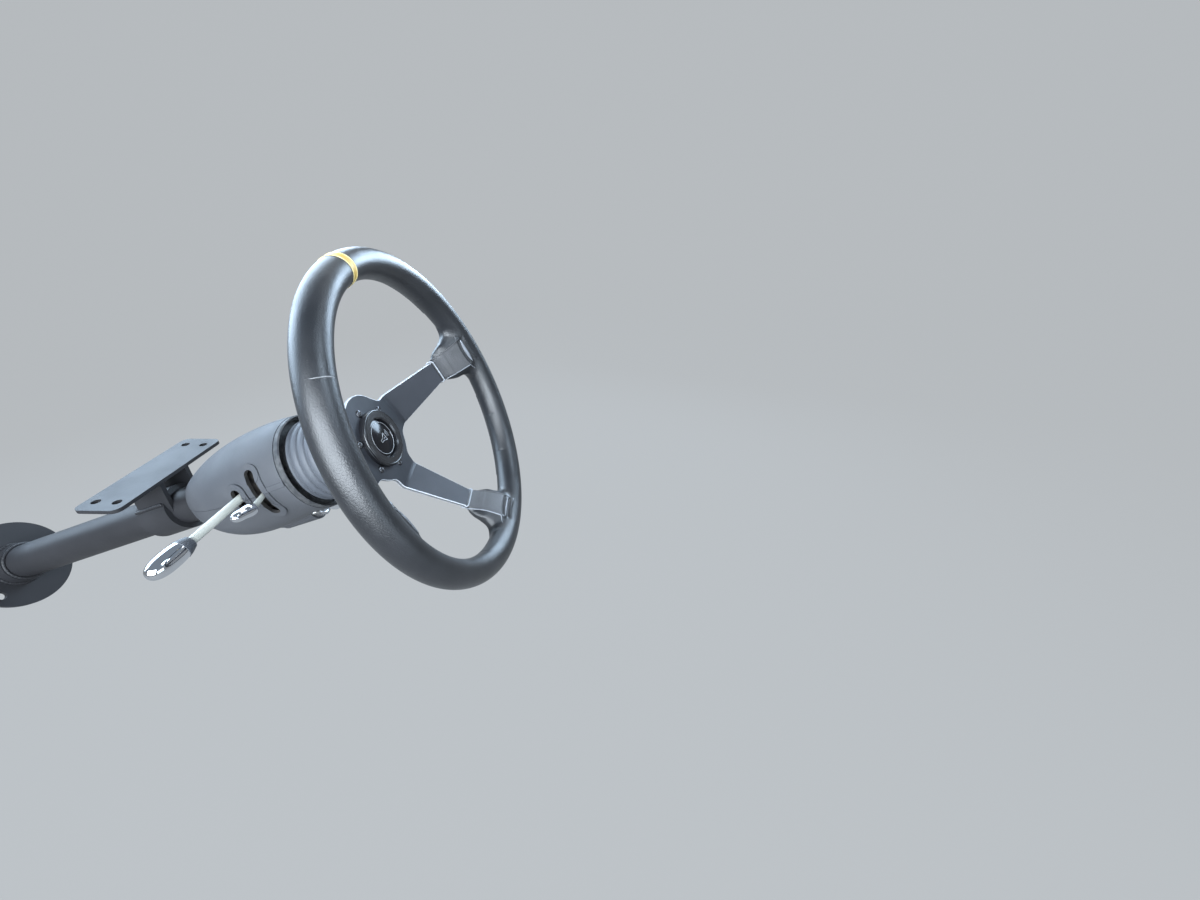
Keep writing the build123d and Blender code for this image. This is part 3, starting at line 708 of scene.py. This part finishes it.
# Short joint in the leather on the left limb, light grey partly as a painted highlight, and drawn only over
# the lit part of its section.
joint_angle = 132.7
taper = np.sin(np.linspace(0, math.pi, 50)) ** 0.5
line = [rim_point(joint_angle + 0.25 * math.sin(3 * t), t, 0.02) for t in np.radians(np.linspace(24, 98, 50))]
on_wheel("joint_line", [tube_along(line, 0.5 * taper + 0.02, closed=False)], seam_grey, "rim_leather")

# Closing seam behind the rim's inside: slanted stitches over two lips, in three runs between the spokes.
stitches, lips = [], []
closing, lip_off = 243.0, 1.9                       # the seam round the rim's section, and its lips beside it
stitch_step, stitch_slant, stitch_reach = 4.4, 0.35, 9.5
for start, stop in ((-66, -24), (-156, -114), (24, 156)):
    count = int(math.radians(stop - start) * (rim_radius - 7) / stitch_step)
    for k in range(count):
        a = start + (stop - start) * (k + 0.5) / count
        line = [rim_point(a + stitch_slant * t, math.radians(closing + stitch_reach * t), 0.30 - 0.75 * t * t)
                for t in np.linspace(-1, 1, 5)]
        stitches.append(tube_along(line, radius=0.42, sides=6, closed=False))
    count = int((stop - start) * 1.5)
    places = [start + (stop - start) * k / count for k in range(count + 1)]
    for side in (-lip_off, lip_off):
        line = [rim_point(a, math.radians(closing + side), -0.05) for a in places]
        lips.append(tube_along(line, radius=0.55, sides=6, closed=False))
on_wheel("rim_stitches", stitches, thread, "rim_leather")
on_wheel("rim_seam_lips", lips, leather, "rim_leather")


# Hub screws.
def screw(x, y, turn_by, head=4.1, height=1.9, socket=1.5, recess=1.3, sides=36):
    """Low button head on the hub's face, with a six-sided recess."""
    rings = [(0.0, 0.96), (0.25, 1.0), (0.6, 0.97), (1.2, 0.82), (1.6, 0.64), (height, 0.48)]
    verts = turned([(head * r, z) for z, r in rings], sides, (x, y, -hub_face))
    for level in (height, height - recess):
        for a in round_angles(sides):
            r = socket / math.cos((a + turn_by) % (math.pi / 3) - math.pi / 6)
            verts.append((x + r * math.cos(a), y + r * math.sin(a), -hub_face + level))
    count = len(rings) + 2
    faces = between_rings(count, sides)
    faces.append(tuple((count - 1) * sides + k for k in range(sides)))
    return verts, faces


screw_circle = 35.0
heads = []
for k in range(6):
    a = math.radians(30 + 60 * k)
    heads.append(screw(screw_circle * math.cos(a), screw_circle * math.sin(a), turn_by=0.3 * k))
on_wheel("hub_screws", heads, screw_black, "boss_metal")

# Horn symbol on the domed button: a plain trumpet with three sound lines.
button_radius, button_rise = 20.75, 2.6
crown_depth, dome_r = 64.5, (button_radius ** 2 + button_rise ** 2) / (2 * button_rise)


def on_button(x, y, lift):
    """Point above the dome by lift."""
    d = crown_depth + dome_r - math.sqrt(dome_r ** 2 - x * x - y * y)
    return (x, y, -d + lift)


def flat_shape(points, lift=0.10):
    """Thin raised shape on the button from an outline, with fine triangles so that it follows the dome."""
    bm = bmesh.new()
    vs = [bm.verts.new((x, y, 0)) for x, y in points]
    bm.faces.new(vs)
    bmesh.ops.triangulate(bm, faces=bm.faces)
    bmesh.ops.subdivide_edges(bm, edges=bm.edges, cuts=3, use_grid_fill=True)
    bmesh.ops.triangulate(bm, faces=bm.faces)
    verts = [on_button(q.co.x, q.co.y, lift) for q in bm.verts]
    bm.verts.index_update()
    faces = [tuple(q.index for q in g.verts) for g in bm.faces]
    bm.free()
    return verts, faces


def sound_line(r, wide=0.6, centre_x=2.0, reach=32, n=9):
    """Outline of an arc, as far as reach degrees to both sides."""
    angles = [math.radians(-reach + 2 * reach * k / (n - 1)) for k in range(n)]
    outer = [(centre_x + (r + wide) * math.cos(a), (r + wide) * math.sin(a)) for a in angles]
    return outer + [(centre_x + r * math.cos(a), r * math.sin(a)) for a in reversed(angles)]


corners = [(-6.6, -1.2), (-2.6, -1.4), (2.4, -4.4), (3.2, -4.4)]
corners += [(x, -y) for x, y in reversed(corners)]
steps = np.linspace(0, len(corners), 97)[:-1]
trumpet = [np.interp(steps, range(len(corners) + 1), values) for values in zip(*corners, corners[0])]
shapes = [tube_along([on_button(x - 0.6, y, 0.0) for x, y in zip(*trumpet)], radius=0.3)]
shapes += [flat_shape(sound_line(r)) for r in (4.0, 5.9, 7.8)]
on_wheel("horn_symbol", shapes, silver, "horn_plastic")
# Thin silver circle printed round the symbol; it also stands in for the light arcs on the ring's inner edge,
# a painted highlight.
line = [on_button(x, y, 0.0) for x, y, _ in turned([(17.6, 0.0)], 96)]
on_wheel("horn_circle", [tube_along(line, radius=0.28)], silver, "horn_plastic")

# Rolled outer lip of the horn ring.
lip_radius, lip_depth = 29.3, 65.2
line = turned([(lip_radius, 0.0)], 144, (0, 0, -lip_depth))
on_wheel("horn_lip", [tube_along(line, radius=1.7, sides=20)], horn_plastic, "horn_plastic")


# Ribbed gates behind the two slots, on the switch: short ribs that leave room for the rods.
def rib(angle, d0, d1, high, low=42.9, wide=1.5):
    """Short bevelled rib along the column between two depths, from the radius low to the radius high."""
    a = math.radians(angle)
    out, side = np.array([math.cos(a), math.sin(a)]), np.array([-math.sin(a), math.cos(a)])
    profile = [(-1.0, low), (-1.0, high - 0.5), (-0.55, high), (0.55, high), (1.0, high - 0.5), (1.0, low)]
    verts = []
    for d in (d0, d0 + 0.5, d1 - 0.5, d1):
        for w, r in profile:
            r = r - (0.5 if d in (d0, d1) and r > low else 0.0)
            q = out * r + side * w * wide / 2
            verts.append((q[0], q[1], -d))
    return verts, [tuple(range(6)), tuple(range(18, 24))[::-1]] + between_rings(4, 6)


# For each slot: from angle to angle, the rod's angle and the room beside it, from depth to depth, top radius.
ribs = []
for start, stop, rod, room, d0, d1, high in ((150.0, 204.0, 178.5, 7.0, 178.2, 189.4, 45.4),
                                             (156.0, 196.0, 172.5, 8.5, 202.0, 213.0, 45.0)):
    ribs += [rib(angle, d0, d1, high) for angle in np.arange(start, stop, 3.4) if abs(angle - rod) > room]
piece("switch_ribs", *join(ribs), switch_black, "column", "switch_plastic", smooth=False)


# Weld beads on the brackets.
weld_step = 0.7


def weld_bead(path, closed=False, radius=1.7):
    """Bead that swells a little at each pass."""
    k = np.arange(len(path))
    size = radius * (1 + 0.13 * np.abs(np.sin(k * 0.55)) + 0.05 * np.sin(k * 0.171 + 1))
    return tube_along(path, size, sides=10, closed=closed)


def circle(r, d):
    return turned([(r, 0.0)], int(2 * math.pi * r / weld_step), (0, 0, -d))


beads = [weld_bead(circle(22.2, 593.9), closed=True), weld_bead(circle(25.4, 609.3), closed=True)]
for side in (-1, 1):
    beads.append(weld_bead([(side * 21.2, 17.3, -d) for d in np.arange(333.5, 371.0, weld_step)]))
piece("column_welds", *join(beads), paint, "column", "bracket_paint")
along_y = np.arange(-18.5, 18.6, weld_step)
beads = [weld_bead([(x, y, -4.5) for y in along_y]) for x in (-21.0, -15.0, 15.0, 21.0)]
piece("bracket_welds", *join(beads), paint, "column", "bracket_paint", place=row_world)


# Pan-head screws that hold the lower cover, each set on the shell where a line from below meets it.
def cross_head(head=3.9, height=2.3, recess=1.1, sides=32):
    """Pan head with a crossed recess, its underside at the origin."""
    verts = []
    rings = [(0.0, 0.97), (0.3, 1.0), (0.9, 0.97), (1.6, 0.82), (2.05, 0.58), (height, 0.3)]
    for z, r in rings:
        for a in round_angles(sides):
            slot = 0.0
            if r < 0.7:
                slot = 0.9 * max(0.0, 1 - (min(abs(math.sin(a)), abs(math.cos(a))) * head * r / 0.55) ** 2)
            verts.append((head * r * math.cos(a), head * r * math.sin(a), z - slot))
    verts.append((0, 0, height - recess))
    top = (len(rings) - 1) * sides
    faces = between_rings(len(rings), sides)
    faces += [(top + k, top + (k + 1) % sides, len(verts) - 1) for k in range(sides)]
    return verts, faces


def set_on(node, start, direction, verts):
    """Places a shape whose base is at the origin on a node's surface, in the row frame, in mm."""
    o = nodes[node]
    s0, s1 = Vector(world([start])[0]), Vector(world([np.add(start, direction)])[0])
    hit, where, normal, _ = o.ray_cast(s0, (s1 - s0).normalized())
    if not hit:
        raise RuntimeError("no surface under " + node)
    turn_to = normal.to_track_quat("Z", "Y").to_matrix()
    return np.array([(where + turn_to @ (Vector(q) / 1000)) * 1000 for q in verts])


parts = []
below = -120.0
v, f = cross_head()
for x, depth in ((-27.0, 170.0), (27.0, 170.0), (-14.0, 272.0)):
    parts.append((set_on("cover_lower", (x, below, -depth), (0.0, 1.0, 0.0), v), f))
piece("cover_screws", *join(parts), zinc, "column", "lock_metal", place=row_world)

# Bright bezel round the lock's keyway.
lock_front = (24, -63, -204)
profile = [(8.2, -0.2), (8.4, 0.5), (9.0, 0.9), (10.4, 0.9), (11.2, 0.5), (11.5, -0.2)]
sides = 48
piece("lock_bezel", turned(profile, sides, lock_front), between_rings(len(profile), sides), chrome, "column",
      "tip_chrome")

# Dark grooved neck at the rod's end of the long tip, a little outside the tip's own surface.
bend, stop = np.array([-120.0, 5.6, -209.0]), np.array([-162.0, 4.6, -215.0])
along = (stop - bend) / np.linalg.norm(stop - bend)
across = np.cross(along, [0, 1.0, 0])
across /= np.linalg.norm(across)
upward = np.cross(across, along)
verts = []
sides, far = 40, 30.0
places = np.arange(-0.4, 10.01, 0.2)
for i, step in enumerate(places):
    on_axis = bend + along * max(step, 0.3)
    outside = Vector(world([on_axis + across * far])[0])
    inward = (Vector(world([on_axis])[0]) - outside).normalized()
    hit, where, _, _ = nodes["stalk_long_tip"].ray_cast(outside, inward)
    if not hit:
        raise RuntimeError("no surface on the tip")
    r = far - (where - outside).length * 1000
    groove = 0.3 * math.exp(-(((step - 1.2) % 1.7 - 0.85) / 0.28) ** 2)
    r += 0.35 - groove - (0.5 if i in (0, len(places) - 1) else 0.0)
    for a in round_angles(sides):
        verts.append(bend + along * step + r * (math.cos(a) * across + math.sin(a) * upward))
piece("stalk_neck", verts, between_rings(len(places), sides), neck_grey, "column", "stalk_plastic")

# Floor that curves up into a wall all round, in metres.
profile = [(0.0, -0.55), (1.5, -0.55), (3.0, -0.55), (4.5, -0.55), (5.5, -0.52), (6.5, -0.38), (7.4, -0.05),
           (8.1, 0.5), (8.6, 1.3), (8.8, 2.3), (8.85, 4.5)]
sides = 96
me = bpy.data.meshes.new("floor")
me.from_pydata(turned(profile, sides), [], between_rings(len(profile), sides))
me.update()
for g in me.polygons:
    g.use_smooth = True
floor = linked("floor", me)
floor_material = bpy.data.materials.new("floor")
floor_material.use_nodes = True
nt = floor_material.node_tree
lit = nt.nodes["Principled BSDF"]
lit.inputs["Base Color"].default_value = (0.13, 0.127, 0.123, 1)
lit.inputs["Roughness"].default_value = 0.95
lit.inputs["Specular IOR Level"].default_value = 0.1

# The camera, and reflections in part, see a pale tone mixed over the lit floor, which keeps some shadow.
path = nt.nodes.new("ShaderNodeLightPath")
reflected = worked_out(nt, "MULTIPLY", path.outputs["Is Glossy Ray"], 0.55)
seen = worked_out(nt, "MAXIMUM", path.outputs["Is Camera Ray"], reflected)
pale = nt.nodes.new("ShaderNodeEmission")
pale.inputs["Color"].default_value = (0.55, 0.58, 0.605, 1)
mix = nt.nodes.new("ShaderNodeMixShader")
nt.links.new(worked_out(nt, "MULTIPLY", seen, 0.82), mix.inputs["Fac"])
nt.links.new(lit.outputs["BSDF"], mix.inputs[1])
nt.links.new(pale.outputs["Emission"], mix.inputs[2])
nt.links.new(mix.outputs["Shader"], nt.nodes["Material Output"].inputs["Surface"])
me.materials.append(floor_material)


def area(name, place, target, size, radiance, colour):
    """Soft panel of light, out of the camera's sight. Its power in watts comes from its radiance."""
    light = bpy.data.lights.new(name, "AREA")
    light.shape = "RECTANGLE"
    light.size, light.size_y = size
    light.energy = radiance * math.pi * size[0] * size[1]
    light.color = colour
    o = linked(name, light)
    o.location = place
    o.rotation_euler = (Vector(target) - Vector(place)).to_track_quat("-Z", "Y").to_euler()
    o.visible_camera = False


# Lights: place, aim, size, radiance and colour. They stand where the car's windows and open doors are, and
# the last one lights the wall behind.
middle = (0, -0.33, 0.07)
area("windscreen", (0.73, 1.04, 0.76), middle, (2.6, 1.15), 7.4, (0.62, 0.80, 1.0))
area("open_door", (-1.42, -0.28, 0.58), middle, (2.2, 1.4), 12.0, (0.82, 0.91, 1.0))
area("far_window", (1.45, -0.80, 0.50), middle, (1.3, 0.6), 13.0, (0.62, 0.80, 1.0))
area("rear_window", (-0.05, -1.25, 1.15), middle, (0.5, 0.45), 12.0, (0.68, 0.84, 1.0))
area("rear_door", (-0.85, -1.75, 0.10), middle, (0.9, 0.8), 3.5, (0.72, 0.86, 1.0))
area("backdrop", (4.4, 0.0, 4.4), (7.2, 0.0, -0.2), (9.0, 3.0), 4.0, (0.90, 0.95, 1.0))
world_light = bpy.data.worlds.new("world")
scene.world = world_light
world_light.use_nodes = True
background = world_light.node_tree.nodes["Background"]
background.inputs["Color"].default_value = (0.72, 0.85, 1.0, 1)
background.inputs["Strength"].default_value = 0.33

# Camera of the photograph: its focal length and width in pixels, its place, and the way it looks.
focal, picture_width = 488.5, 1200
cam = bpy.data.cameras.new("camera")
cam.sensor_width = 36.0
cam.lens = focal / picture_width * 36
cam.clip_start, cam.clip_end = 0.01, 50
eye = linked("camera", cam)
scene.camera = eye
right = Vector((0.022, -1.0, 0.0)).normalized()
forward = Vector((0.869, 0.019, -0.495)).normalized()
up = right.cross(forward).normalized()
right = forward.cross(up).normalized()
facing = Matrix((right, up, -forward)).transposed().to_4x4()
camera_place = (-0.4535, -0.50945, 0.29105)
eye.matrix_world = Matrix.Translation(camera_place) @ facing
scene.view_settings.view_transform = "Standard"
